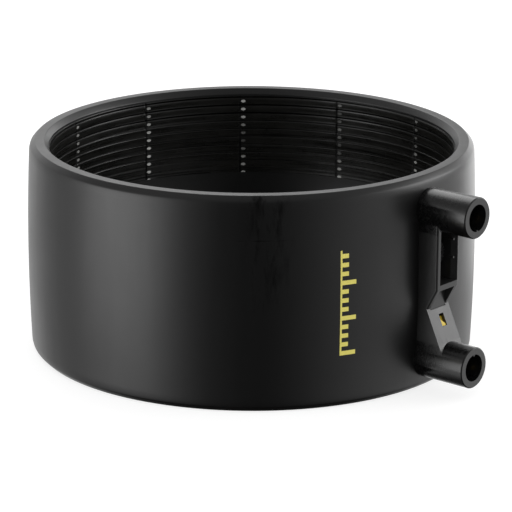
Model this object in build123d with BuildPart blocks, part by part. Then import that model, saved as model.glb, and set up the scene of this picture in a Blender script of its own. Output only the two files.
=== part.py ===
from build123d import *
import math
import os

# Electrofusion coupler for a 250 mm plastic pipe, in millimetres.
# The bore runs along +Z, the origin is on its axis half way along, and the terminals face -Y.

# ---- sleeve -----------------------------------------------------------------------------
bore_diameter = 252.4
wall_thickness = 13.8
sleeve_length = 132.6
end_bevel_depth = 4.6          # bevel round each end of the outside: along the sleeve
end_bevel_rise = 5.0           # and inwards
entry_depth = 3.6              # lead-in bevel at each mouth: along the bore
entry_rise = 2.7               # lead-in bevel at each mouth: outwards

# ---- heating windings: coated wire laid turn against turn --------------------------------
winding_pitch = 5.4            # also the width of the coated wire
turns = 7                      # of each winding that stand out from the bore
winding_clearance = 0.08       # between the coating and the bore's wall
coating_web = 0.12             # coating left where two turns meet
turn_height = 0.4              # crest of a turn above the web
cold_end = 4.8                 # from the last turn to the end of the sleeve
link_width = 2.4               # wire that joins the two windings along the bore
link_clearance = 0.1           # between its ends and the windings

# ---- terminals --------------------------------------------------------------------------
terminal_setback = 19.7        # shroud axis to the nearest sleeve end
shroud_diameter = 25.2
shroud_bore = 16.6
shroud_reach = 34.4            # shroud mouth above the sleeve's outside
mouth_bevel = 0.6
socket_depth = 26.0
key_width = 1.2                # moulded key inside each socket
key_height = 0.9
pin_diameter = 4.7
pin_recess = 9.0               # pin tip below the shroud mouth
tip_bevel = 0.8
tail_width = 2.8               # square, so that the pin can't turn in the moulding
tail_depth = 4.5               # end of the pin's tail below the outside of the sleeve
insert_clearance = 0.05        # round the metal that the moulding holds
feed_diameter = 1.4            # wire from a winding out to its pin, across its flats

# ---- bridge between the shrouds: fuse bay, rib and ramp ---------------------------------
# A share is a part of the distance between the shroud axes, of the fuse bay's length or of
# the ramp's length down to the lower shroud.
bridge_wall = 3.2              # side wall beside the fuse bay
bridge_reach = 13.5            # front of the side walls above the sleeve's outside
bridge_round = 1.3             # rounding of the side walls' outer front edges
bay_floor = 2.1                # floor of the fuse bay above the sleeve's outside
lead_in_width = 2.3            # bevel inside the right-hand wall's front edge
lead_in_depth = 3.5
rib_thickness = 3.5
rib_below_knee = 0.6
knee_share = 0.138             # length of the sloping wall ends above the notch
notch_reach = 6.4              # lowest point of the bridge, where the ramp starts
ramp_share = 0.355             # ramp top above the lower shroud axis
ramp_angle = 24.8              # between the ramp and the sleeve's side
ramp_plate = 2.2
cavity_setback = 2.0           # moulding left between the notch and the ramp's cavity
window_width = 4.4
window_offset = 0.8            # window centre from the ramp's centre line, to the right
window_share = 0.346           # its length down the ramp
window_setback_share = 0.213   # its edge below the ramp's top edge
nub_spacing = 11.3             # the two retaining nubs on each bay wall
nub_share = 0.37               # their middle, as a share of the bay from its top
nub_radius = 0.7
nub_length = 4.0

# ---- fuse, leads and indicator ----------------------------------------------------------
fuse_diameter = 13.6
fuse_thickness = 3.6
fuse_share = 0.454             # fuse centre, as a share of the bay from its top
fuse_side_gap = 0.6            # between the fuse and the bay's side walls
seat_gap = 0.1                 # between an inner piece and the moulding behind it
lead_diameter = 2.0            # across its flats
indicator_width = 7.0          # tab behind the ramp plate
indicator_share = 0.275        # its length down the ramp
indicator_thickness = 1.6
nose_clearance = 0.15          # between the indicator's nose and the window
nose_recess = 0.6              # nose below the ramp's face
nose_left_share = 0.6          # height of the nose's slanted top at its two sides, as
nose_right_share = 0.12        # shares of the window's length
window_gap = 0.3               # tab below the ramp plate

# ---- worked out from the sizes above ----------------------------------------------------
bore_radius = bore_diameter / 2
outer_radius = bore_radius + wall_thickness
half_length = sleeve_length / 2
foot_radius = bore_radius - winding_clearance
web_radius = foot_radius - coating_web
crest_radius = web_radius - turn_height
winding_top = half_length - cold_end
winding_start = winding_top - turns * winding_pitch

terminal_z = half_length - terminal_setback
root_r = outer_radius - wall_thickness / 2
mouth_r = outer_radius + shroud_reach
socket_floor_r = mouth_r - socket_depth
pin_tip_r = mouth_r - pin_recess
tail_end_r = outer_radius - tail_depth
bay_floor_r = outer_radius + bay_floor
front_r = outer_radius + bridge_reach
notch_r = outer_radius + notch_reach

bay_half = fuse_diameter / 2 + fuse_side_gap
half_bridge = bay_half + bridge_wall
ramp_slope = math.tan(math.radians(ramp_angle))
ramp_top_z = (2 * ramp_share - 1) * terminal_z
ramp_length = (ramp_top_z + terminal_z - shroud_diameter / 2) / math.cos(
    math.radians(ramp_angle)
)
window_setback = window_setback_share * ramp_length
window_length = window_share * ramp_length
knee_z = ramp_top_z + knee_share * 2 * terminal_z
rib_bottom_z = knee_z - rib_below_knee
rib_top_z = rib_bottom_z + rib_thickness
bay_top_z = terminal_z - shroud_diameter / 2
bay_length = bay_top_z - rib_top_z
fuse_z = bay_top_z - fuse_share * bay_length
nubs_z = bay_top_z - nub_share * bay_length
lead_r = bay_floor_r + seat_gap + lead_diameter / 2


def across(height, reach):
    """The plane across a shroud's axis: X along the sleeve's side, Y up, Z outwards."""
    return Plane(origin=(0, -reach, height), x_dir=(1, 0, 0), z_dir=(0, -1, 0))


def ramp_r(height):
    """How far out the ramp's outer face is at a height."""
    return notch_r + (ramp_top_z - height) * ramp_slope


def wire_section(diameter):
    """A wire's section, as a hexagon of that width across its flats."""
    RegularPolygon(diameter / 2, 6, major_radius=False)


def feed_wire(side, diameter):
    """A straight wire through the wall, from a winding's last turn out to its pin."""
    start = Vector(0, -foot_radius, side * (winding_top - winding_pitch / 2))
    end = Vector(0, -(tail_end_r + tail_depth / 2), side * terminal_z)
    with BuildPart() as wire:
        with BuildSketch(Plane(origin=start, x_dir=(1, 0, 0), z_dir=end - start)):
            wire_section(diameter)
        extrude(amount=(end - start).length)
        Cylinder(bore_radius, sleeve_length, mode=Mode.SUBTRACT)
        add(pin_rod(side, insert_clearance), mode=Mode.SUBTRACT)
    return wire.part


def pin_rod(side, clearance):
    """A round pin on a square tail, in its place, with the tail grown by a clearance."""
    with BuildPart() as rod:
        with BuildSketch(across(side * terminal_z, tail_end_r - clearance)):
            Rectangle(tail_width + 2 * clearance, tail_width + 2 * clearance)
        extrude(amount=socket_floor_r - tail_end_r + clearance)
        with BuildSketch(across(side * terminal_z, socket_floor_r)):
            Circle(pin_diameter / 2)
        extrude(amount=pin_tip_r - socket_floor_r)
    return rod.part


# ---- sleeve body ------------------------------------------------------------------------
upper_outline = [
    (outer_radius, half_length - end_bevel_depth),
    (outer_radius - end_bevel_rise, half_length),
    (bore_radius + entry_rise, half_length),
    (bore_radius, half_length - entry_depth),
]
lower_outline = [(radius, -height) for radius, height in reversed(upper_outline)]

with BuildPart() as sleeve_body:
    with BuildSketch(Plane.XZ):
        with BuildLine():
            Polyline(*upper_outline, *lower_outline, close=True)
        make_face()
    revolve(axis=Axis.Z)
    for side in (1, -1):
        # hole for the inner end of the pin, and the channel for the wire that feeds it
        add(pin_rod(side, insert_clearance), mode=Mode.SUBTRACT)
        add(feed_wire(side, feed_diameter + 2 * insert_clearance), mode=Mode.SUBTRACT)

# ---- heating windings: turns of coated wire, side by side round the bore ------------------
with BuildPart() as upper_winding:
    with BuildSketch(Plane.XZ):
        with BuildLine():
            turn_line = [(web_radius, winding_start)]
            for turn in range(turns):
                foot_z = winding_start + turn * winding_pitch
                turn_line.append((crest_radius, foot_z + winding_pitch / 2))
                turn_line.append((web_radius, foot_z + winding_pitch))
            Polyline(*turn_line, (foot_radius, winding_top), (foot_radius, winding_start),
                     close=True)
        make_face()
    revolve(axis=Axis.Z)

with BuildPart() as lower_winding:
    mirror(upper_winding.part, about=Plane.XY)

link_half = winding_start - link_clearance
with BuildPart() as winding_link:
    with BuildSketch(Plane.XY.offset(-link_half)):
        with BuildLine():
            Polyline((-link_width / 2, -foot_radius), (link_width / 2, -foot_radius),
                     (0, -crest_radius), close=True)
        make_face()
    extrude(amount=2 * link_half)

# ---- terminal housing: two shrouds joined by the bridge with its fuse bay and ramp --------
with BuildPart() as terminal_housing:
    # the bridge's side profile, carried across its width
    with BuildSketch(Plane.YZ.offset(-half_bridge)):
        with BuildLine():
            Polyline((-root_r, terminal_z), (-front_r, terminal_z), (-front_r, knee_z),
                     (-notch_r, ramp_top_z), (-ramp_r(-terminal_z), -terminal_z),
                     (-root_r, -terminal_z), close=True)
        make_face()
    extrude(amount=2 * half_bridge)
    wall_edges = edges().filter_by(
        lambda edge: abs(abs(edge.center().X) - half_bridge) < 0.01
        and edge.center().Z > ramp_top_z
        and edge.center().Y < -notch_r
    )
    fillet(wall_edges, radius=bridge_round)

    # fuse bay above the rib, and the shallow pocket below it
    for floor_r, bottom, top in ((bay_floor_r, rib_top_z, terminal_z),
                                 (notch_r, ramp_top_z - 1, rib_bottom_z)):
        with BuildSketch(across(bottom, floor_r)):
            Rectangle(2 * bay_half, top - bottom, align=(Align.CENTER, Align.MIN))
        extrude(amount=front_r, mode=Mode.SUBTRACT)

    # bevel that leads into the bay on the right-hand wall
    with BuildSketch(Plane.XY.offset(rib_top_z)):
        with BuildLine():
            Polyline((bay_half, -(front_r - lead_in_depth)), (bay_half, -front_r),
                     (bay_half + lead_in_width, -front_r), close=True)
        make_face()
    extrude(amount=terminal_z - rib_top_z, mode=Mode.SUBTRACT)

    # nubs that keep the fuse in the bay
    for height in (nubs_z - nub_spacing / 2, nubs_z + nub_spacing / 2):
        with BuildSketch(across(height, front_r - nub_length - bridge_round)):
            with Locations((-bay_half, 0), (bay_half, 0)):
                Circle(nub_radius)
        extrude(amount=nub_length)

    # cavity behind the ramp plate
    cavity_top = ramp_top_z - cavity_setback
    plate_back = ramp_plate / math.cos(math.radians(ramp_angle))
    with BuildSketch(Plane.YZ.offset(-bay_half)):
        with BuildLine():
            Polyline((-bay_floor_r, cavity_top),
                     (-(ramp_r(cavity_top) - plate_back), cavity_top),
                     (-(ramp_r(-terminal_z) - plate_back), -terminal_z),
                     (-bay_floor_r, -terminal_z), close=True)
        make_face()
    extrude(amount=2 * bay_half, mode=Mode.SUBTRACT)

    # the two shrouds, with bevelled mouths
    for side in (1, -1):
        with BuildSketch(across(side * terminal_z, root_r)):
            Circle(shroud_diameter / 2)
        extrude(amount=mouth_r - root_r)
    chamfer(faces().group_by(Axis.Y)[0].edges(), length=mouth_bevel)

    # sockets with their keys, and the holes that hold the pins
    for side in (1, -1):
        with BuildSketch(across(side * terminal_z, socket_floor_r)):
            Circle(shroud_bore / 2)
            with Locations((0, -side * shroud_bore / 2)):
                Rectangle(key_width, 2 * key_height, mode=Mode.SUBTRACT)
        extrude(amount=socket_depth, mode=Mode.SUBTRACT)
        add(pin_rod(side, insert_clearance), mode=Mode.SUBTRACT)

    # channel for the fuse leads, from one pin's tail to the other's
    with BuildSketch(Plane.XY.offset(-terminal_z)):
        with Locations((0, -lead_r)):
            wire_section(lead_diameter + 2 * insert_clearance)
    extrude(amount=2 * terminal_z, mode=Mode.SUBTRACT)

    # indicator window through the ramp plate
    ramp_face = Plane(origin=(0, -notch_r, ramp_top_z), x_dir=(1, 0, 0),
                      z_dir=(0, -1, ramp_slope))
    with BuildSketch(ramp_face):
        with Locations((window_offset, -window_setback)):
            Rectangle(window_width, window_length, align=(Align.CENTER, Align.MAX))
    extrude(amount=-(ramp_plate + window_gap), mode=Mode.SUBTRACT)

    # saddle that fits the sleeve
    Cylinder(outer_radius, sleeve_length, mode=Mode.SUBTRACT)


# ---- terminal pins ----------------------------------------------------------------------
def terminal_pin(side):
    """A turned pin: its tail in the sleeve's wall, its bevelled tip free in the socket."""
    with BuildPart() as pin:
        add(pin_rod(side, 0))
        chamfer(faces().sort_by(Axis.Y)[0].edges(), length=tip_bevel)
    return pin


upper_terminal_pin = terminal_pin(1)
lower_terminal_pin = terminal_pin(-1)


# ---- wires from the windings to the pins ------------------------------------------------
def winding_feed(side):
    """The wire that feeds one winding, in its channel through the sleeve wall."""
    with BuildPart() as feed:
        add(feed_wire(side, feed_diameter))
    return feed


upper_feed_wire = winding_feed(1)
lower_feed_wire = winding_feed(-1)

# ---- thermal fuse and its two leads -----------------------------------------------------
with BuildPart() as thermal_fuse:
    with BuildSketch(across(fuse_z, bay_floor_r + seat_gap)):
        Circle(fuse_diameter / 2)
    extrude(amount=fuse_thickness)


def fuse_lead(side):
    """A straight insulated lead from the fuse along the bridge to one pin's tail."""
    start = fuse_z + side * (fuse_diameter / 2 + seat_gap)
    end = side * terminal_z
    with BuildPart() as lead:
        with BuildSketch(Plane.XY.offset(min(start, end))):
            with Locations((0, -lead_r)):
                wire_section(lead_diameter)
        extrude(amount=abs(end - start))
        add(pin_rod(side, insert_clearance), mode=Mode.SUBTRACT)
    return lead


upper_fuse_lead = fuse_lead(1)
lower_fuse_lead = fuse_lead(-1)

# ---- fusion indicator: a tab behind the window with a slanted nose that shows in it -------
window_foot = window_setback + window_length
nose_left_x = window_offset - window_width / 2 + nose_clearance
nose_right_x = window_offset + window_width / 2 - nose_clearance
nose_foot = -window_foot + nose_clearance
tab_depth = ramp_plate + window_gap
with BuildPart() as fusion_indicator:
    with BuildSketch(ramp_face.offset(-tab_depth)):
        with Locations((window_offset, -window_foot)):
            Rectangle(indicator_width, indicator_share * ramp_length, align=(Align.CENTER, Align.MIN))
    extrude(amount=-indicator_thickness)
    with BuildSketch(ramp_face.offset(-tab_depth)):
        with BuildLine():
            Polyline((nose_left_x, nose_foot), (nose_right_x, nose_foot),
                     (nose_right_x, nose_foot + nose_right_share * window_length),
                     (nose_left_x, nose_foot + nose_left_share * window_length), close=True)
        make_face()
    extrude(amount=tab_depth - nose_recess)

# ---- write the pieces -------------------------------------------------------------------
pieces = {
    "sleeve_body": sleeve_body,
    "upper_winding": upper_winding,
    "lower_winding": lower_winding,
    "winding_link": winding_link,
    "upper_feed_wire": upper_feed_wire,
    "lower_feed_wire": lower_feed_wire,
    "terminal_housing": terminal_housing,
    "upper_terminal_pin": upper_terminal_pin,
    "lower_terminal_pin": lower_terminal_pin,
    "thermal_fuse": thermal_fuse,
    "upper_fuse_lead": upper_fuse_lead,
    "lower_fuse_lead": lower_fuse_lead,
    "fusion_indicator": fusion_indicator,
}
os.makedirs("parts", exist_ok=True)
for name, piece in pieces.items():
    piece.part.label = name
    export_step(piece.part, f"parts/{name}.step")
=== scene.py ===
"""Looks of an electrofusion coupler, built round its CAD frame.

The sleeve, the two heating windings and their link are laid again as finer surfaces, the
terminal housing gets its moulded edges, and every piece gets a procedural finish.
"""

import logging
import math
from collections.abc import Iterator
from contextlib import contextmanager
from dataclasses import dataclass, field
from enum import Enum

import bmesh
import bpy
import numpy as np
from mathutils import Matrix, Vector


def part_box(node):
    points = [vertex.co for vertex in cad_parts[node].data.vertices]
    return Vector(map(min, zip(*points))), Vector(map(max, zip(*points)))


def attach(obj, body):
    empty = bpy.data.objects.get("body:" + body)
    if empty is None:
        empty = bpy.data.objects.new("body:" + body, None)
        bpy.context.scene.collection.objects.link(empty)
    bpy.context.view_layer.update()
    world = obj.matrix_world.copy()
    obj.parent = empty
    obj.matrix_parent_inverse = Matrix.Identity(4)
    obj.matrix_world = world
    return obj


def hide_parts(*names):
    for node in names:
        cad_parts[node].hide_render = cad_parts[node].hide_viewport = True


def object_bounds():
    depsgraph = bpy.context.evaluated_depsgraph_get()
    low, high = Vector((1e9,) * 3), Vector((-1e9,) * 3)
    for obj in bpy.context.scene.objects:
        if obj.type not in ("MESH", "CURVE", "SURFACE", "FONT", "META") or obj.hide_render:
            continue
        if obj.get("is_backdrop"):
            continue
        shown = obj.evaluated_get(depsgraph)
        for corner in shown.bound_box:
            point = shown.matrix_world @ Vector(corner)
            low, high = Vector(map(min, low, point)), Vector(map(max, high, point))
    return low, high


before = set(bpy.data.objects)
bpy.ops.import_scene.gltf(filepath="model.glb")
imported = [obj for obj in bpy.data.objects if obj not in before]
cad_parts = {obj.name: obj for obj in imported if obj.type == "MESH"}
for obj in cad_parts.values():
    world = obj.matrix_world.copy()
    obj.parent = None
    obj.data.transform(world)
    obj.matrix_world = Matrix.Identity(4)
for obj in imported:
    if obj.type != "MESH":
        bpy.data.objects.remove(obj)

LOG = logging.getLogger("coupler")
MM = 0.001
FULL_TURN = 2 * math.pi
OUTER_WALL = 134 * MM  # what lies further from the axis is outside, not in the bore
SIDE_RADIUS = 139.6 * MM  # turns angles round the crowned side into lengths along it
WELD = 0.5e-6  # corners of a new surface closer than this are one
CAD_WELD = 1e-6  # the same for the facets of a CAD node
CORNER_STEPS = 5  # points of each rounded corner of an outline
LIGHT_RAYS = ("Is Camera Ray", "Is Glossy Ray", "Is Transmission Ray")


# ---------------------------------------------------------------------------------------
# shader maths
# ---------------------------------------------------------------------------------------
class Val:
    """A shader value: one output socket, with Python's operators adding Math nodes."""

    def __init__(self, paint: "Paint", socket: bpy.types.NodeSocket) -> None:
        """Wraps a socket of a material's node tree.

        Args:
            paint: The material being built.
            socket: The output socket that holds the value.
        """
        self.paint = paint
        self.socket = socket

    def math(self, operation: str, *others: "Val | float", clamp: bool = False) -> "Val":
        """Adds one Math node.

        Args:
            operation: The Math node's operation.
            others: The values of its further sockets.
            clamp: Whether the result is kept between 0 and 1.

        Returns:
            The node's result.
        """
        settings = {"operation": operation, "use_clamp": clamp}
        return self.paint.node("ShaderNodeMath", settings, {0: self, **dict(enumerate(others, 1))})

    def __add__(self, other: "Val | float") -> "Val":
        """Sum."""
        return self.math("ADD", other)

    __radd__ = __add__

    def __mul__(self, other: "Val | float") -> "Val":
        """Product."""
        return self.math("MULTIPLY", other)

    __rmul__ = __mul__

    def __sub__(self, other: "Val | float") -> "Val":
        """Difference."""
        return self.math("SUBTRACT", other)

    def __rsub__(self, other: float) -> "Val":
        """Difference, from a number."""
        return self * -1.0 + other

    def __truediv__(self, other: "Val | float") -> "Val":
        """Quotient."""
        return self.math("DIVIDE", other)

    def __pow__(self, power: float) -> "Val":
        """Power."""
        return self.math("POWER", power)

    def __mod__(self, period: float) -> "Val":
        """Remainder after whole periods, never below zero."""
        return self.math("FLOORED_MODULO", period)

    def __abs__(self) -> "Val":
        """Size without sign."""
        return self.math("ABSOLUTE")

    def below(self, edge: "Val | float", soft: float) -> "Val":
        """A mask that is 1 below an edge and 0 above it, with a soft step between.

        Args:
            edge: Where the mask is one half.
            soft: Width of the step.

        Returns:
            The mask.
        """
        return ((edge - self) / soft + 0.5).clamped()

    def above(self, edge: float, soft: float) -> "Val":
        """A mask that is 0 below an edge and 1 above it, with a soft step between.

        Args:
            edge: Where the mask is one half.
            soft: Width of the step.

        Returns:
            The mask.
        """
        return ((self - edge) / soft + 0.5).clamped()

    def most(self, other: "Val | float") -> "Val":
        """The larger of two values."""
        return self.math("MAXIMUM", other)

    def clamped(self) -> "Val":
        """The value kept between 0 and 1."""
        return self.math("ADD", 0.0, clamp=True)


@dataclass(frozen=True)
class Pattern:
    """Fractal noise, about 0.5 on average, and how it is cut where it is used as patches.

    Scale is in waves per metre along X, Y and Z, detail is the number of octaves, and rough is
    how much each octave keeps. A patch is (noise - floor) * gain, kept between 0 and 1.
    """

    scale: tuple[float, float, float]
    detail: float = 3.0
    rough: float = 0.5
    floor: float = 0.0
    gain: float = 1.0


class Paint:
    """A material or world under construction, with one method that adds any node."""

    def __init__(self, owner: "bpy.types.Material | bpy.types.World", place: str = "Object") -> None:
        """Starts an empty node tree.

        Args:
            owner: The material or world that the nodes belong to.
            place: The coordinates that its patterns read.
        """
        owner.use_nodes = True
        self.owner = owner
        self.tree = owner.node_tree
        self.tree.nodes.clear()
        self.place = self.node("ShaderNodeTexCoord", output=place)

    @classmethod
    def called(cls, name: str) -> "Paint":
        """Starts a new material of that name."""
        return cls(bpy.data.materials.new(name))

    def node(
        self,
        kind: str,
        settings: dict[str, object] | None = None,
        inputs: dict[object, object] | None = None,
        output: object = 0,
    ) -> Val:
        """Adds one node.

        Args:
            kind: The node's type.
            settings: Its properties, which are set first.
            inputs: Values or links for its sockets, by name or number.
            output: Which of its outputs is wanted.

        Returns:
            That output.
        """
        node = self.tree.nodes.new(kind)
        for name, value in (settings or {}).items():
            setattr(node, name, value)
        for name, value in (inputs or {}).items():
            if isinstance(value, Val):
                self.tree.links.new(value.socket, node.inputs[name])
            else:
                node.inputs[name].default_value = value
        return Val(self, node.outputs[output])

    def xyz(self) -> tuple[Val, Val, Val]:
        """The object coordinates, one value each."""
        split = self.tree.nodes.new("ShaderNodeSeparateXYZ")
        self.tree.links.new(self.place.socket, split.inputs[0])
        return tuple(Val(self, output) for output in split.outputs)

    def facing(self, angle: float) -> tuple[Val, Val]:
        """Where a place lies as seen along one level direction from the axis.

        Args:
            angle: The direction, in radians from X.

        Returns:
            The distance out along the direction, and the angle round Z from it.
        """
        x, y, _ = self.xyz()
        ahead = (math.cos(angle), math.sin(angle))
        outward = x * ahead[0] + y * ahead[1]
        return outward, (y * ahead[0] - x * ahead[1]).math("ARCTAN2", outward)

    def outside(self, outward: Val) -> Val:
        """A mask of the sleeve's outer wall, on the side that one direction points to.

        Args:
            outward: Distance from the axis along that direction.

        Returns:
            1 on that side of the outer wall and 0 in the bore or behind.
        """
        x, y, _ = self.xyz()
        reach = (x * x + y * y).math("SQRT")
        return reach.above(OUTER_WALL, MM) * outward.above(0.0, MM)

    def rays(self) -> dict[str, Val]:
        """The kind of ray being shaded, as one value of 0 or 1 for each kind."""
        path = self.tree.nodes.new("ShaderNodeLightPath")
        return {name: Val(self, path.outputs[name]) for name in LIGHT_RAYS}

    def noise(self, pattern: Pattern) -> Val:
        """Fractal noise on the object coordinates.

        Args:
            pattern: Its scale, octaves and roughness.

        Returns:
            The noise value.
        """
        spread = self.node("ShaderNodeMapping", {}, {"Vector": self.place, "Scale": pattern.scale})
        inputs = {"Vector": spread, "Scale": 1.0, "Detail": pattern.detail, "Roughness": pattern.rough}
        return self.node("ShaderNodeTexNoise", {}, inputs, "Fac")

    def patches(self, pattern: Pattern) -> Val:
        """A mask of patches, cut from noise by the pattern's floor and gain."""
        return ((self.noise(pattern) - pattern.floor) * pattern.gain).clamped()

    def blend(self, factor: "Val | float", first: object, second: object) -> Val:
        """Mixes two colours.

        Args:
            factor: 0 for the first, 1 for the second.
            first: A colour or a value that holds one.
            second: The other.

        Returns:
            The mixed colour.
        """
        inputs = {0: factor, 6: first, 7: second}
        return self.node("ShaderNodeMix", {"data_type": "RGBA"}, inputs, 2)

    def bump(self, height: Val, distance: float, strength: float = 1.0) -> Val:
        """Turns a height into a normal.

        Args:
            height: Height between 0 and 1.
            distance: Real height of 1, in metres.
            strength: How much of it shows.

        Returns:
            The normal.
        """
        inputs = {"Height": height, "Distance": distance, "Strength": strength}
        return self.node("ShaderNodeBump", {}, inputs)

    def finish(self, inputs: dict[str, object]) -> bpy.types.Material:
        """Ends the material in one Principled shader.

        Args:
            inputs: The shader's sockets by name.

        Returns:
            The material.
        """
        self.surface(self.node("ShaderNodeBsdfPrincipled", {}, inputs), "ShaderNodeOutputMaterial")
        return self.owner

    def surface(self, shader: Val, kind: str) -> None:
        """Links a shader to an output node of one kind."""
        output = self.tree.nodes.new(kind)
        self.tree.links.new(shader.socket, output.inputs["Surface"])

    def ramp(self, factor: Val, stops: tuple[tuple[float, float], ...]) -> Val:
        """A grey level that follows straight lines between stops.

        Args:
            factor: Place along the ramp, 0 to 1.
            stops: (place, level) of each stop, in order.

        Returns:
            The level.
        """
        level = self.node("ShaderNodeValToRGB", {}, {"Fac": factor})
        points = level.socket.node.color_ramp.elements
        while len(points) < len(stops):
            points.new(1.0)
        for point, (spot, shade) in zip(points, stops):
            point.position = spot
            point.color = grey(shade)
        return level


def grey(level: float) -> tuple[float, float, float, float]:
    """A neutral colour of one linear level."""
    return (level, level, level, 1.0)


# ---------------------------------------------------------------------------------------
# surfaces
# ---------------------------------------------------------------------------------------
@contextmanager
def edited(mesh: bpy.types.Mesh) -> Iterator[bmesh.types.BMesh]:
    """Opens a mesh for editing and writes it back afterwards.

    Args:
        mesh: The mesh to edit.

    Yields:
        Its editable form.
    """
    shape = bmesh.new()
    shape.from_mesh(mesh)
    yield shape
    shape.to_mesh(mesh)
    shape.free()


def linked(name: str, data: bpy.types.ID) -> bpy.types.Object:
    """Makes an object of a mesh, light or camera and links it to the scene."""
    thing = bpy.data.objects.new(name, data)
    bpy.context.scene.collection.objects.link(thing)
    return thing


def mesh_piece(
    name: str, points: np.ndarray, faces: np.ndarray, smooth_angle: float
) -> bpy.types.Object:
    """Makes one welded, closed piece.

    Args:
        name: The piece's name.
        points: Corner positions, n x 3, in metres.
        faces: Corner numbers, m x 4, counter-clockwise from outside.
        smooth_angle: Edges that turn more than this many degrees stay sharp.

    Returns:
        The object, at the origin.
    """
    mesh = bpy.data.meshes.new(name)
    mesh.from_pydata(points.tolist(), [], faces.tolist())
    with edited(mesh) as shape:
        bmesh.ops.remove_doubles(shape, verts=shape.verts, dist=WELD)
        bmesh.ops.dissolve_degenerate(shape, edges=shape.edges, dist=WELD)
    return smoothed(name, mesh, smooth_angle)


def smoothed(name: str, mesh: bpy.types.Mesh, smooth_angle: float) -> bpy.types.Object:
    """Links a mesh as an object, shaded smooth between its sharp edges.

    Args:
        name: The piece's name.
        mesh: Its mesh.
        smooth_angle: Edges that turn more than this many degrees stay sharp.

    Returns:
        The object.
    """
    piece = linked(name, mesh)
    mesh.polygons.foreach_set("use_smooth", np.ones(len(mesh.polygons), dtype=bool))
    mesh.set_sharp_from_angle(angle=math.radians(smooth_angle))
    return piece


def quads(rows: int, columns: int) -> np.ndarray:
    """Faces of an open grid whose corners are numbered row by row."""
    row, column = np.meshgrid(np.arange(rows - 1), np.arange(columns - 1), indexing="ij")
    first = (row * columns + column).ravel()
    return np.stack([first, first + 1, first + columns + 1, first + columns], axis=1)


def rounded(corners: list[tuple[float, float, float]]) -> np.ndarray:
    """A closed outline with rounded corners.

    Each corner is replaced by a quadratic curve between the points that lie its rounding
    away along both sides: p = (1-t)^2 a + 2t(1-t) c + t^2 b.

    Args:
        corners: (radius, height, rounding) of each corner, in metres, in order.

    Returns:
        The outline, CORNER_STEPS points for each corner.
    """
    spots = np.array([corner[:2] for corner in corners])
    size = np.array([corner[2] for corner in corners])[:, None]
    before = np.roll(spots, 1, axis=0) - spots
    after = np.roll(spots, -1, axis=0) - spots
    start = spots + before / np.linalg.norm(before, axis=1, keepdims=True) * size
    end = spots + after / np.linalg.norm(after, axis=1, keepdims=True) * size
    share = np.linspace(0, 1, CORNER_STEPS)[None, :, None]
    curve = (
        (1 - share) ** 2 * start[:, None]
        + 2 * share * (1 - share) * spots[:, None]
        + share**2 * end[:, None]
    )
    return curve.reshape(-1, 2)


def turned(
    name: str, outline: np.ndarray, segments: int, smooth_angle: float
) -> bpy.types.Object:
    """Turns a closed outline about Z: (r cos a, r sin a, z) for every outline point and angle.

    Args:
        name: The piece's name.
        outline: (radius, height) of each point, counter-clockwise seen with Z up.
        segments: Steps round the axis.
        smooth_angle: Edges that turn more than this many degrees stay sharp.

    Returns:
        The object.
    """
    angle = np.linspace(0, FULL_TURN, segments + 1)[:, None]
    closed = np.vstack([outline, outline[:1]])
    radius, height = closed[:, 0][None], closed[:, 1][None]
    points = np.stack(
        [radius * np.cos(angle), radius * np.sin(angle), height + 0 * angle], axis=2
    )
    return mesh_piece(name, points.reshape(-1, 3), quads(*points.shape[:2]), smooth_angle)


# ---------------------------------------------------------------------------------------
# finishes
# ---------------------------------------------------------------------------------------
@dataclass(frozen=True)
class Layer:
    """What a layer does to the moulded skin where its mask is 1.

    Cover is how much of its colour shows, dulling is added to the roughness, lift to the
    height, uncoat is the share of the coat it takes off, and darkening is a black metal share.
    """

    colour: tuple[float, float, float, float]
    cover: float = 1.0
    dulling: float = 0.0
    lift: float = 0.0
    uncoat: float = 0.0
    darkening: float = 0.0


@dataclass(frozen=True)
class DepthScale:
    """The yellow scale printed up the side: a fine line with bars across it."""

    layer: Layer = Layer((0.97, 0.86, 0.20, 1.0), dulling=0.06, lift=0.5, uncoat=0.7)
    angle: float = math.radians(-115.7)
    low: float = -33.4 * MM
    high: float = 31.3 * MM
    width: float = 10.2 * MM
    short: float = 0.52
    long_every: int = 4
    pitch: float = 5.45 * MM
    bar: float = 2.7 * MM
    rule: float = 1.1 * MM
    edge: float = 0.25 * MM

    def mask(self, paint: Paint) -> Val:
        """Where the ink lies.

        Args:
            paint: The material that wears the scale.

        Returns:
            1 on the ink and 0 off it.
        """
        outward, bearing = paint.facing(self.angle)
        side = bearing * SIDE_RADIUS + self.width / 2
        up = paint.xyz()[2] - self.low
        row = (up / self.pitch).math("FLOOR")
        long_row = (row % self.long_every).below(0.5, 0.1)
        reach = self.width * (self.short + (1 - self.short) * long_row)
        bars = (up % self.pitch).below(self.bar, self.edge) * side.below(reach, self.edge)
        marks = bars.most(side.below(self.rule, self.edge)) * side.above(0.0, self.edge)
        inside = up.below(self.high - self.low, self.edge) * up.above(0.0, self.edge)
        return marks * inside * paint.outside(outward)


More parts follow.
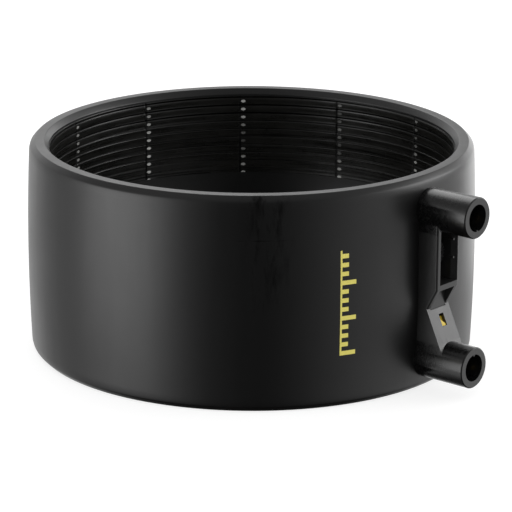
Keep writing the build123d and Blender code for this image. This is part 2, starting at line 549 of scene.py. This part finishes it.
@dataclass(frozen=True)
class WallMarks:
    """Rub and flow marks on one side of the moulded wall: dull upright smears and a hair line."""

    layer: Layer = Layer(
        grey(0.0), cover=0.85, dulling=0.22, lift=0.6, uncoat=0.8, darkening=0.75
    )
    angle: float = math.radians(-136.0)
    spread: float = 11.0 * MM
    fade: float = 12.0 * MM
    low: float = 6.0 * MM
    rise: float = 30.0 * MM
    smears: Pattern = Pattern((170, 170, 45), 5.0, 0.60, 0.47, 5.0)
    line_height: float = 40.0 * MM
    line_width: float = 0.5 * MM
    line_spread: float = 17.6 * MM
    line_strength: float = 0.8
    line_breaks: Pattern = Pattern((90, 90, 90), 2.0, 0.5, 0.42, 5.0)

    def mask(self, paint: Paint) -> Val:
        """How strongly the wall is marked.

        Args:
            paint: The material that wears the marks.

        Returns:
            0 where the skin is as moulded, up to 1 in a mark.
        """
        outward, bearing = paint.facing(self.angle)
        along = abs(bearing * SIDE_RADIUS)
        z = paint.xyz()[2]
        near = along.below(self.spread, self.fade) * z.above(self.low, self.rise)
        line = abs(z - self.line_height).below(self.line_width / 2, self.line_width)
        line = line * along.below(self.line_spread, self.fade / 2)
        mark = near * paint.patches(self.smears)
        mark = mark + self.line_strength * line * paint.patches(self.line_breaks)
        return (mark * paint.outside(outward)).clamped()


@dataclass(frozen=True)
class MattBandWithPaintedSheen:
    """The flat faces of the bridge between the shrouds: less glossy, and paler by a painted sheen that
    stands for their reflection.
    """

    # painted sheen: the colour is raised well above the housing's black; the extra roughness is a matt
    # finish
    layer: Layer = Layer(grey(0.0126), dulling=0.10)
    half: float = 34.0 * MM
    edge: float = 1.5 * MM

    def mask(self, paint: Paint) -> Val:
        """1 within half the bridge's height of the middle and 0 on the shrouds."""
        return abs(paint.xyz()[2]).below(self.half, self.edge)


@dataclass(frozen=True)
class Scuffs:
    """Fine handling scuffs all over a part."""

    layer: Layer = Layer(grey(0.035), cover=0.20, dulling=0.06, lift=0.15)
    pattern: Pattern = Pattern((420, 420, 420), 4.0, 0.65, 0.52, 6.0)

    def mask(self, paint: Paint) -> Val:
        """1 in a scuff and 0 between them."""
        return paint.patches(self.pattern)


@dataclass(frozen=True)
class MouldedBlack:
    """Black moulded polyethylene: satin, with faint flow streaks and any layers on top."""

    name: str
    level: float = 0.0021
    blue: float = 1.03
    mottle: float = 0.5
    roughness: float = 0.42
    streak_gloss: float = 0.10
    cloud_gloss: float = 0.06
    coat: float = 0.5
    coat_roughness: float = 0.30
    coat_range: tuple[float, float] = (1.15, 0.65)
    relief: float = 0.03 * MM
    relief_shares: tuple[float, float, float] = (0.4, 0.35, 0.25)
    clouds: Pattern = Pattern((22, 22, 22), 4.0, 0.55)
    flow: Pattern = Pattern((120, 120, 7), 3.0, 0.5)
    grain: Pattern = Pattern((2600, 2600, 2600), 2.0, 0.5)
    layers: tuple[DepthScale | WallMarks | MattBandWithPaintedSheen | Scuffs, ...] = ()

    def material(self) -> bpy.types.Material:
        """Builds the material.

        Returns:
            The material.
        """
        paint = Paint.called(self.name)
        cloud, streak, grain = map(paint.noise, (self.clouds, self.flow, self.grain))
        tone = self.level * (1 - self.mottle / 2 + self.mottle * cloud)
        shade = paint.node("ShaderNodeCombineColor", {}, {0: tone, 1: tone, 2: tone * self.blue})
        gloss = self.streak_gloss * (streak - 0.5) + self.cloud_gloss * (cloud - 0.5)
        gloss = gloss + self.roughness
        shares = self.relief_shares
        height = cloud * shares[0] + streak * shares[1] + grain * shares[2]
        thick, thin = self.coat_range
        coat = self.coat * (thick - (thick - thin) * cloud)
        metal = 0.0
        for part in self.layers:
            mask, layer = part.mask(paint), part.layer
            shade = paint.blend(layer.cover * mask, shade, layer.colour)
            gloss = gloss + layer.dulling * mask
            height = height + layer.lift * mask
            coat = coat * (1.0 - layer.uncoat * mask)
            if layer.darkening > 0:
                metal = metal + layer.darkening * mask
        return paint.finish(
            {
                "Base Color": shade,
                "Roughness": gloss.clamped(),
                "Metallic": metal,
                "Coat Weight": coat.clamped(),
                "Coat Roughness": self.coat_roughness,
                "Normal": paint.bump(height, self.relief),
            }
        )


@dataclass(frozen=True)
class WindingCoat:
    """The wire's coating, with painted shade in the seams between turns and in the groove beside each
    column of marks, and a painted glint on each turn's press mark.
    """

    name: str
    turns: "TurnPlan"
    colour: tuple[float, float, float] = (0.0055, 0.0054, 0.0046)
    # painted glint: the pale grey of each press mark stands for its shine
    painted_glint_colour: tuple[float, float, float, float] = (0.60, 0.60, 0.58, 1.0)
    tone_range: tuple[float, float] = (0.3, 1.7)
    roughness: float = 0.30
    relief: float = 0.02 * MM
    relief_shares: tuple[float, float] = (0.4, 0.6)
    mark_edge: tuple[float, float] = (0.8, 0.5)
    early_turns: float = 3.1
    early_edge: float = 2.0 * MM
    seam_at: float = 0.475
    early_seam: float = 0.065
    seam_edge: float = 0.03
    # painted shade in the seams: the share of the tone that is left there
    painted_seam_shade: float = 0.25
    strip_edge: float = 0.5 * MM
    # how deep the painted shade in the groove and the first turns' seams goes; the grime patches are
    # darkened by it too
    darkest: float = 0.95
    grime_share: float = 0.75
    early_grime: float = 0.4
    streak_gloss: float = 0.3
    cloud_gloss: float = 0.2
    strip_gloss: float = 0.35
    mark_gloss: float = 0.15
    gap_gloss: float = 0.3
    clouds: Pattern = Pattern((60, 60, 160), 3.0, 0.55)
    flow: Pattern = Pattern((16, 16, 900), 3.0, 0.5)
    grime: Pattern = Pattern((11, 11, 420), 3.0, 0.6, 0.50, 5.0)
    # patches that break up the press marks and their painted glint
    faint: Pattern = Pattern((9, 9, 30), 1.0, 0.5, 0.30, 2.6)
    # patches that break up the groove's painted shade
    groove_shade_patches: Pattern = Pattern((12, 12, 60), 2.0, 0.5, 0.33, 3.0)

    def material(self) -> bpy.types.Material:
        """Builds the material.

        The turn's phase is (top - |z|) / pitch - a / 2 pi, less its whole part.

        Returns:
            The material.
        """
        paint = Paint.called(self.name)
        plan = self.turns
        x, y, z = paint.xyz()
        angle = y.math("ARCTAN2", x)
        phase = ((plan.top - abs(z)) / plan.pitch - angle / FULL_TURN) % 1.0
        along = plan.from_column(angle)
        drop = (phase - 0.5) * plan.pitch
        mark = (along / plan.mark_width) ** 2 + (drop / plan.mark_height) ** 2
        mark = mark.below(*self.mark_edge) * paint.patches(self.faint)
        strip = abs(along - plan.strip_shift).below(plan.strip_width / 2, self.strip_edge)
        early = abs(z).above(plan.top - self.early_turns * plan.pitch, self.early_edge)
        seam = abs(phase - 0.5).below(self.seam_at - self.early_seam * early, self.seam_edge)
        # the seams of the first turns, which get painted shade through the black metal share below and
        # a rougher skin
        early_gap = early * (1.0 - seam)
        cloud, streak = map(paint.noise, (self.clouds, self.flow))
        dark, light = self.tone_range
        # painted shade: the colour drops to a quarter of its tone in the seams between turns
        tone = (dark + (light - dark) * cloud) * (self.painted_seam_shade + (1 - self.painted_seam_shade) * seam)
        # painted shade: the groove beside each column of marks is darkened in the colour
        tone = tone * (1.0 - self.darkest * strip)
        shades = {i: part * tone for i, part in enumerate(self.colour)}
        shade = paint.node("ShaderNodeCombineColor", {}, shades)
        grime = self.grime_share * paint.patches(self.grime)
        grime = grime * (1.0 - (1 - self.early_grime) * early)
        # painted shade in the groove and in the first turns' seams, together with the grime patches
        painted_shade_and_grime = (strip * paint.patches(self.groove_shade_patches)).most(early_gap).most(grime)
        gloss = self.streak_gloss * (streak - 0.5) + self.cloud_gloss * (cloud - 0.5)
        gloss = gloss + self.strip_gloss * strip - self.mark_gloss * mark
        gloss = gloss + self.gap_gloss * early_gap + self.roughness
        height = cloud * self.relief_shares[0] + streak * self.relief_shares[1]
        return paint.finish(
            {
                # painted glint: each press mark is blended to a pale grey
                "Base Color": paint.blend(mark, shade, self.painted_glint_colour),
                "Roughness": gloss.clamped(),
                # the painted shade and the grime darken as a black metal share, kept off the press
                # marks
                "Metallic": (self.darkest * painted_shade_and_grime * (1.0 - mark)).clamped(),
                "Normal": paint.bump(height, self.relief),
            }
        )


@dataclass(frozen=True)
class PlainFinish:
    """A small part's finish: one colour with fine variation in tone and gloss."""

    name: str
    colour: tuple[float, float, float]
    roughness: float
    metallic: float = 0.0
    clouds: Pattern = Pattern((300, 300, 300), 3.0, 0.5)
    grain: Pattern = Pattern((900, 900, 900), 2.0, 0.5)
    tone_range: tuple[float, float] = (0.72, 1.12)
    gloss_range: float = 0.16
    relief: float = 0.01 * MM

    def material(self) -> bpy.types.Material:
        """Builds the material.

        Returns:
            The material.
        """
        paint = Paint.called(self.name)
        cloud, grain = map(paint.noise, (self.clouds, self.grain))
        dark, light = (
            tuple(min(1.0, share * part) for part in self.colour) + (1.0,)
            for share in self.tone_range
        )
        return paint.finish(
            {
                "Base Color": paint.blend(cloud, dark, light),
                "Roughness": (self.roughness + self.gloss_range * (grain - 0.5)).clamped(),
                "Metallic": self.metallic,
                "Normal": paint.bump(grain, self.relief),
            }
        )


def dress(piece: bpy.types.Object, material: bpy.types.Material) -> None:
    """Puts one material on the whole of a piece.

    Args:
        piece: A new piece or a CAD node's object.
        material: Its finish.
    """
    if not piece.material_slots:
        piece.data.materials.append(material)
    for place in piece.material_slots:
        place.material = material


def stand_for(piece: bpy.types.Object, slot: str, *nodes: str) -> None:
    """Makes a piece ride on the body and stand for its CAD nodes.

    Args:
        piece: The new piece.
        slot: Not used.
        nodes: The CAD nodes it replaces.
    """
    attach(piece, "root")
    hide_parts(*nodes)


# ---------------------------------------------------------------------------------------
# sub-assemblies
# ---------------------------------------------------------------------------------------
@dataclass
class Sleeve:
    """The moulded sleeve: crowned outside, bevelled rims, plain wall inside."""

    crown: float = 1.5 * MM
    bevel_depth: float = 3.5 * MM
    bevel_rise: float = 3.5 * MM
    entry_depth: float = 3.6 * MM
    bore: float = 126.2 * MM
    rim_inner: float = 128.9 * MM
    edge: float = 0.38 * MM
    shoulder: float = 1.7 * MM
    side_rows: int = 41
    segments: int = 288
    smooth_angle: float = 35.0
    finish: MouldedBlack = MouldedBlack(
        "black_sleeve_plastic", layers=(WallMarks(), DepthScale())
    )

    def outline(self) -> np.ndarray:
        """The section: a crowned side r = R - crown (z/h)^2, then rims and the bore's wall.

        The upper rim has four rounded corners. The fifth only gives the wall below them its
        direction, so its points are left out.

        Returns:
            (radius, height) of each point.
        """
        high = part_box("sleeve_body")[1]
        radius, half = high[0], high[2]
        side_top = half - self.bevel_depth
        side = np.linspace(-1, 1, self.side_rows)[:, None]
        wall = np.hstack([radius - self.crown * side**2, side * (side_top - self.shoulder)])
        rim = radius - self.crown - self.bevel_rise
        top = rounded(
            [
                (radius - self.crown, side_top, self.shoulder),
                (rim, half, self.edge),
                (self.rim_inner, half, self.edge),
                (self.bore, half - self.entry_depth, self.edge),
                (self.bore, 0.0, self.edge),
            ]
        )[: 4 * CORNER_STEPS]
        bottom = (top * np.array([1.0, -1.0]))[::-1]
        return np.vstack([wall, top[1:], bottom[:-1]])

    def build(self) -> None:
        """Turns the sleeve and dresses it."""
        piece = turned("sleeve_shell", self.outline(), self.segments, self.smooth_angle)
        stand_for(piece, "sleeve", "sleeve_body")
        dress(piece, self.finish.material())
        LOG.info("sleeve: %d faces", len(piece.data.polygons))


@dataclass(frozen=True)
class TurnPlan:
    """How the coated wire lies, shared by the turns' surface and their finish."""

    top: float
    pitch: float = 5.4 * MM
    foot: float = 126.12 * MM
    web: float = 126.05 * MM
    crest: float = 125.6 * MM
    inner_end: float = 9.4 * MM
    soft_turns: float = 2.6
    full_turns: float = 6.6
    marks: int = 12
    first_mark: float = math.radians(12.8)
    mark_width: float = 1.65 * MM
    mark_height: float = 1.00 * MM
    mark_depth: float = 0.26 * MM
    strip_shift: float = 2.1 * MM
    strip_width: float = 1.1 * MM
    strip_depth: float = 0.24 * MM
    groove_share: float = 0.6
    column_reach: tuple[float, float] = (-2.6 * MM, 3.6 * MM)
    column_steps: int = 17
    soft_power: float = 3.0
    tight_power: float = 12.0
    tighten_over: float = 0.8
    fade: float = 0.6
    fade_over: float = 1.5

    def from_column(self, angle: "np.ndarray | Val") -> "np.ndarray | Val":
        """Distance round the bore from the nearest column of marks.

        Args:
            angle: Place round the bore, as numbers or as a shader value.

        Returns:
            The distance in metres, below zero before the column.
        """
        step = FULL_TURN / self.marks
        return ((angle - self.first_mark + step / 2) % step - step / 2) * self.crest

    def angles(self, segments: int) -> np.ndarray:
        """Steps round the bore, closer together across each column of marks.

        Args:
            segments: Even steps round the bore.

        Returns:
            The angles in order, from 0 to a full turn.
        """
        across = np.linspace(*self.column_reach, self.column_steps) / self.crest
        column = self.first_mark + np.arange(self.marks)[:, None] * FULL_TURN / self.marks
        even = np.linspace(0, FULL_TURN, segments + 1)
        return np.unique(np.round(np.concatenate([even, (column + across).ravel()]), 6))

    def radius(self, row: np.ndarray, angle: np.ndarray) -> np.ndarray:
        """The turns' surface.

        A turn stands 1 - |2p - 1|^k above the web across its width p, where k is the soft
        power on the first turns and the tight power further in, and the last turns stand
        lower. A mark is a dent of exp(-(u/w)^2 - (v/h)^2) in the middle of a turn, and beside
        each column of marks runs a shallow groove.

        Args:
            row: Turn number and place across the turn, 1 x n.
            angle: Place round the bore, m x 1.

        Returns:
            The radius, m x n.
        """
        phase = row % 1.0
        wire = np.floor(row) + angle / FULL_TURN
        tight = np.clip((wire - self.soft_turns) / self.tighten_over, 0, 1)
        full = 1 - self.fade * np.clip((wire - self.full_turns) / self.fade_over, 0, 1)
        power = self.soft_power + (self.tight_power - self.soft_power) * tight
        rise = (1 - np.abs(2 * phase - 1) ** power) * full
        along = self.from_column(angle)
        drop = (phase - 0.5) * self.pitch
        dent = np.exp(-((along / self.mark_width) ** 2) - (drop / self.mark_height) ** 2)
        beside = (along - self.strip_shift) / (self.groove_share * self.strip_width)
        groove = np.exp(-(beside**2))
        depth = self.mark_depth * dent + self.strip_depth * groove
        return np.minimum(self.web - (self.web - self.crest) * rise + depth, self.web)


@dataclass
class Windings:
    """Coated heating wire wound inside the bore, the turns of each half touching."""

    segments: int = 240
    samples: int = 14
    run_out: float = MM
    link_half_width: float = 1.2 * MM
    link_steps: int = 13
    turn_angle: float = 80.0
    link_angle: float = 50.0
    link_finish: MouldedBlack = MouldedBlack("link_coating", level=0.010, roughness=0.36)

    def __post_init__(self) -> None:
        """Takes the upper end from the frame."""
        self.plan = TurnPlan(float(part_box("upper_winding")[1][2]))

    def build_one(self, name: str, side: int) -> bpy.types.Object:
        """Winds one half.

        Rows follow the wire: z = top - pitch (s + a / 2 pi), cut off at both ends. They lie
        closer together near the seams, by the square root of their distance from mid-turn.

        Args:
            name: The piece's name.
            side: 1 for the upper half and -1 for the lower.

        Returns:
            The object.
        """
        plan = self.plan
        turns = math.ceil((plan.top - plan.inner_end) / plan.pitch) + 1
        across = np.linspace(0, 1, self.samples, endpoint=False)
        across = 0.5 + 0.5 * np.sign(across - 0.5) * np.abs(2 * across - 1) ** 0.5
        row = (np.arange(-1, turns)[:, None] + across[None]).ravel()
        row = np.append(row, turns)[None]
        angle = plan.angles(self.segments)[:, None]
        height = plan.top - plan.pitch * (row + angle / FULL_TURN)
        inside = np.clip((plan.top - height) / self.run_out, 0, 1)
        inside = inside * np.clip((height - plan.inner_end) / self.run_out, 0, 1)
        radius = plan.web - (plan.web - plan.radius(row, angle)) * inside
        height = np.clip(height, plan.inner_end, plan.top)
        wall = np.full((len(angle), 1), plan.foot)
        radius = np.hstack([wall, radius, wall, wall])
        height = np.hstack([height[:, :1], height, height[:, -1:], height[:, :1]])
        height[:, 0] = height[:, -1] = plan.top
        points = np.stack(
            [radius * np.cos(angle), radius * np.sin(angle), side * height], axis=2
        )
        faces = quads(*points.shape[:2])
        if side < 0:
            faces = faces[:, ::-1]
        return mesh_piece(name, points.reshape(-1, 3), faces, self.turn_angle)

    def build(self) -> None:
        """Winds both halves, lays the link between them and dresses all three."""
        finish = WindingCoat("wire_coating", self.plan).material()
        for name, node, side in (
            ("upper_turns", "upper_winding", 1),
            ("lower_turns", "lower_winding", -1),
        ):
            piece = self.build_one(name, side)
            stand_for(piece, "winding", node)
            dress(piece, finish)
            LOG.info("%s: %d faces", name, len(piece.data.polygons))
        link = self.build_link()
        stand_for(link, "winding", "winding_link")
        dress(link, self.link_finish.material())

    def build_link(self) -> bpy.types.Object:
        """Lays the coated wire that joins the halves: a half-round bar along the bore.

        Returns:
            The object.
        """
        around = np.linspace(0, math.pi, self.link_steps)
        x = self.link_half_width * np.cos(around)
        y = -self.plan.foot + (self.plan.foot - self.plan.crest) * np.sin(around)
        x, y = np.append(x, x[0]), np.append(y, y[0])
        ends = np.array([-self.plan.inner_end, self.plan.inner_end])[:, None]
        points = np.stack([x + 0 * ends, y + 0 * ends, ends + 0 * x], axis=2)
        faces = quads(*points.shape[:2]).tolist()
        columns = len(x)
        mesh = bpy.data.meshes.new("link_wire")
        caps = [list(range(columns - 1))[::-1], list(range(columns, 2 * columns - 1))]
        mesh.from_pydata(points.reshape(-1, 3).tolist(), [], faces + caps)
        with edited(mesh) as shape:
            bmesh.ops.remove_doubles(shape, verts=shape.verts, dist=WELD)
            bmesh.ops.recalc_face_normals(shape, faces=shape.faces)
        return smoothed("link_wire", mesh, self.link_angle)


@dataclass
class TerminalHousing:
    """The shrouded terminals and the bridge between them, with moulded edge radii."""

    edge: float = 0.32 * MM
    saddle_radius: float = 140.0 * MM
    saddle_sink: float = 3.0 * MM
    saddle_slack: float = 0.06 * MM
    flat_angle: float = 0.5
    bevel_angle: float = 32.0
    bevel_steps: int = 2
    smooth_angle: float = 30.0
    finish: MouldedBlack = MouldedBlack(
        "black_housing_plastic",
        level=0.0028,
        roughness=0.27,
        coat_roughness=0.20,
        layers=(MattBandWithPaintedSheen(), Scuffs()),
    )

    def build(self) -> None:
        """Rounds the housing's edges, sinks its saddle into the sleeve and dresses it."""
        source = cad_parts["terminal_housing"]
        mesh = source.data.copy()
        mesh.name = "terminal_housing_shell"
        with edited(mesh) as shape:
            bmesh.ops.remove_doubles(shape, verts=shape.verts, dist=CAD_WELD)
            limit = math.radians(self.flat_angle)
            bmesh.ops.dissolve_limit(
                shape, angle_limit=limit, verts=shape.verts, edges=shape.edges
            )
        place = np.empty(len(mesh.vertices) * 3)
        mesh.vertices.foreach_get("co", place)
        place = place.reshape(-1, 3)
        reach = np.hypot(place[:, 0], place[:, 1])
        saddle = np.abs(reach - self.saddle_radius) < self.saddle_slack
        place[saddle, :2] *= (1 - self.saddle_sink / reach[saddle])[:, None]
        mesh.vertices.foreach_set("co", place.ravel())
        piece = smoothed("terminal_housing_shell", mesh, self.smooth_angle)
        bevel = piece.modifiers.new("moulded_edges", "BEVEL")
        bevel.width = self.edge
        bevel.segments = self.bevel_steps
        bevel.limit_method = "ANGLE"
        bevel.angle_limit = math.radians(self.bevel_angle)
        bevel.harden_normals = True
        stand_for(piece, "housing", "terminal_housing")
        dress(piece, self.finish.material())
        LOG.info("terminal housing: %d faces", len(mesh.polygons))


class SmallPart(Enum):
    """The small parts that keep their CAD shape, each with its finish."""

    BRASS = PlainFinish(
        "turned_brass", (0.62, 0.45, 0.16), 0.30, 1.0, grain=Pattern((200, 4000, 200), 2.0, 0.5)
    )
    COPPER = PlainFinish("drawn_wire", (0.60, 0.30, 0.16), 0.32, 1.0)
    FUSE = PlainFinish("fuse_case", (0.016, 0.016, 0.017), 0.28)
    LEAD = PlainFinish("lead_cover", (0.10, 0.085, 0.02), 0.45)
    SIGNAL = PlainFinish("signal_yellow", (0.78, 0.56, 0.03), 0.40)


@dataclass
class InnerParts:
    """Pins, wires, fuse and indicator, which keep their CAD shape."""

    finishes: dict[str, SmallPart] = field(
        default_factory=lambda: {
            "upper_terminal_pin": SmallPart.BRASS,
            "lower_terminal_pin": SmallPart.BRASS,
            "upper_feed_wire": SmallPart.COPPER,
            "lower_feed_wire": SmallPart.COPPER,
            "thermal_fuse": SmallPart.FUSE,
            "upper_fuse_lead": SmallPart.LEAD,
            "lower_fuse_lead": SmallPart.LEAD,
            "fusion_indicator": SmallPart.SIGNAL,
        }
    )

    def build(self) -> None:
        """Dresses each CAD node, one material for each kind."""
        made = {part: part.value.material() for part in SmallPart}
        for node, part in self.finishes.items():
            dress(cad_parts[node], made[part])
            LOG.info("%s: %s", node, part.value.name)


# ---------------------------------------------------------------------------------------
# studio
# ---------------------------------------------------------------------------------------
@dataclass(frozen=True)
class Lamp:
    """A rectangular soft light that faces the object, placed by its angle from the camera.

    Bearing and elevation are in degrees, distance and size in metres, and power in watts.
    """

    name: str
    bearing: float
    elevation: float
    distance: float
    size: tuple[float, float]
    power: float


@dataclass
class Studio:
    """Camera, floor, white surroundings and soft lights."""

    camera_bearing: float = math.atan2(-0.6455, -0.7638)
    camera_rise: float = 0.2883
    camera_distance: float = 1.92343
    lens: float = 215.04
    sensor: float = 36.0
    shift: tuple[float, float] = (0.0088, -0.0330)
    roll: float = 0.0032
    far: float = 50.0
    ambient: float = 0.95
    zenith: float = 0.37
    zenith_even: float = 0.35
    zenith_edge: tuple[float, float] = (0.45, 0.3)
    underfoot: float = 0.02
    underfoot_edge: tuple[float, float] = (-0.68, 0.25)
    floor_half: float = 6.0
    floor_roughness: float = 0.9
    floor_bounce: float = 0.20
    floor_seen: float = 0.34
    floor_glow: float = 0.76
    surround: tuple[tuple[float, float], ...] = (
        (-180, 0.80), (-150, 0.84), (-130, 0.54), (-112, 0.38), (-92, 0.50), (-76, 0.94),
        (-56, 1.00), (-45, 0.68), (-36, 0.28), (-26, 0.10), (-12, 0.02), (8, 0.02), (20, 0.08),
        (38, 0.29), (55, 0.50), (85, 0.70), (100, 0.98), (118, 0.66), (140, 0.62), (180, 0.62),
    )
    lamps: tuple[Lamp, ...] = (
        Lamp("left_bank", -66, 0, 1.3, (1.0, 0.9), 4.5),
        Lamp("back_bank", 150, 0, 1.3, (0.7, 0.8), 2),
        Lamp("right_bank", 99, 21, 1.3, (0.9, 0.7), 5),
        Lamp("top_bank", -166, 46, 1.4, (1.1, 0.8), 5),
    )

    def bearing_vector(self, bearing: float, elevation: float) -> Vector:
        """The direction at an angle to the right of the camera and above the horizon.

        Args:
            bearing: Degrees to the right of the camera, seen from the camera.
            elevation: Degrees above the horizon.

        Returns:
            A unit vector away from the object.
        """
        around = self.camera_bearing + math.radians(bearing)
        rise = math.radians(elevation)
        flat = math.cos(rise)
        return Vector((flat * math.cos(around), flat * math.sin(around), math.sin(rise)))

    def facing_centre(self, away: Vector, distance: float) -> Matrix:
        """Where something stands when it looks at the origin.

        Args:
            away: Direction from the origin.
            distance: Distance from the origin.

        Returns:
            Its place and turn.
        """
        turn = (-away).to_track_quat("-Z", "Y").to_matrix().to_4x4()
        return Matrix.Translation(away * distance) @ turn

    def build_camera(self) -> None:
        """Places the camera and makes it the scene's own."""
        lens = bpy.data.cameras.new("camera")
        lens.lens = self.lens
        lens.sensor_width = self.sensor
        lens.shift_x, lens.shift_y = self.shift
        lens.clip_end = self.far
        camera = linked("camera", lens)
        away = self.bearing_vector(0.0, math.degrees(self.camera_rise))
        place = self.facing_centre(away, self.camera_distance)
        camera.matrix_world = place @ Matrix.Rotation(self.roll, 4, "Z")
        bpy.context.scene.camera = camera

    def build_lamps(self) -> None:
        """Places the soft lights."""
        for lamp in self.lamps:
            light = bpy.data.lights.new(lamp.name, "AREA")
            light.shape = "RECTANGLE"
            light.size, light.size_y = lamp.size
            light.energy = lamp.power
            away = self.bearing_vector(lamp.bearing, lamp.elevation)
            linked(lamp.name, light).matrix_world = self.facing_centre(away, lamp.distance)

    def build_world(self) -> None:
        """Surrounds the object with white, an even light, and banks that gloss shows."""
        world = bpy.data.worlds.new("studio")
        bpy.context.scene.world = world
        paint = Paint(world, "Generated")
        _, bearing = paint.facing(self.camera_bearing)
        z = paint.xyz()[2]
        stops = tuple((0.5 + turn / 360, level) for turn, level in self.surround)
        around = paint.ramp(bearing / FULL_TURN + 0.5, stops)
        upper = self.zenith * (self.zenith_even + (1 - self.zenith_even) * around)
        mirrored = paint.blend(z.above(*self.zenith_edge), around, upper)
        mirrored = paint.blend(z.below(*self.underfoot_edge), mirrored, grey(self.underfoot))
        ray = paint.rays()
        level = paint.blend(ray["Is Glossy Ray"], grey(self.ambient), mirrored)
        level = paint.blend(ray["Is Transmission Ray"], level, mirrored)
        level = paint.blend(ray["Is Camera Ray"], level, grey(1.0))
        shade = paint.node("ShaderNodeBackground", {}, {"Color": level})
        paint.surface(shade, "ShaderNodeOutputWorld")

    def build_floor(self) -> None:
        """Lays the pale floor, which keeps the shadow and lets gloss see the banks."""
        low, half = float(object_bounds()[0][2]), self.floor_half
        corners = [(-half, -half, low), (half, -half, low), (half, half, low), (-half, half, low)]
        mesh = bpy.data.meshes.new("floor")
        mesh.from_pydata(corners, [], [(0, 1, 2, 3)])
        floor = linked("floor", mesh)
        paint = Paint.called("white_floor")
        ray = paint.rays()
        seen = ray["Is Camera Ray"]
        solid = {
            "Base Color": paint.blend(seen, grey(self.floor_bounce), grey(self.floor_seen)),
            "Roughness": self.floor_roughness,
            "Emission Color": paint.blend(seen, grey(0.0), grey(self.floor_glow)),
            "Emission Strength": 1.0,
            "Specular IOR Level": 0.0,
        }
        board = paint.node("ShaderNodeBsdfPrincipled", {}, solid)
        clear = paint.node("ShaderNodeBsdfTransparent")
        mix = {0: ray["Is Glossy Ray"], 1: board, 2: clear}
        paint.surface(paint.node("ShaderNodeMixShader", {}, mix), "ShaderNodeOutputMaterial")
        dress(floor, paint.owner)
        floor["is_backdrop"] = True

    def build(self) -> None:
        """Sets up everything round the object but the camera."""
        bpy.context.scene.view_settings.view_transform = "Standard"
        self.build_world()
        self.build_lamps()
        self.build_floor()


def main() -> None:
    """Builds the studio and the coupler, and reports each piece."""
    logging.basicConfig(level=logging.INFO, format="%(name)s: %(message)s")
    studio = Studio()
    studio.build_camera()
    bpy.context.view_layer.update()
    studio.build()
    for assembly in (Sleeve(), Windings(), TerminalHousing(), InnerParts()):
        assembly.build()


if __name__ == "__main__":
    main()
